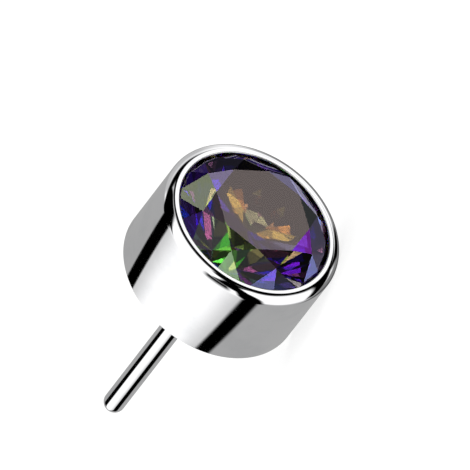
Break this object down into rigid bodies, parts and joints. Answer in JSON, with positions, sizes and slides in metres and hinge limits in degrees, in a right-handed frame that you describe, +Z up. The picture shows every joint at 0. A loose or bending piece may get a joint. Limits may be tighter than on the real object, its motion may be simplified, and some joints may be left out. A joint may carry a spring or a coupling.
{
  "type": "threadless gem top",
  "caption": "Decorative top for threadless body jewellery: a round faceted stone in a plain bezel cup with a smooth straight pin on its back.",
  "frame": {"origin": "the pin's root: the middle of the cup's flat back", "axes": "+Y along the pin from the cup's back to the pin's tip, so the stone's table faces -Y; +Z up with the part lying on the side of its cup"},
  "size_m": [0.005, 0.0092, 0.005],
  "materials": {
    "metal": "mirror polish",
    "gem": "polished facets with a rainbow coating behind them"
  },
  "bodies": {
    "root": {"setting": "metal", "stone": "gem"}
  },
  "joints": []
}
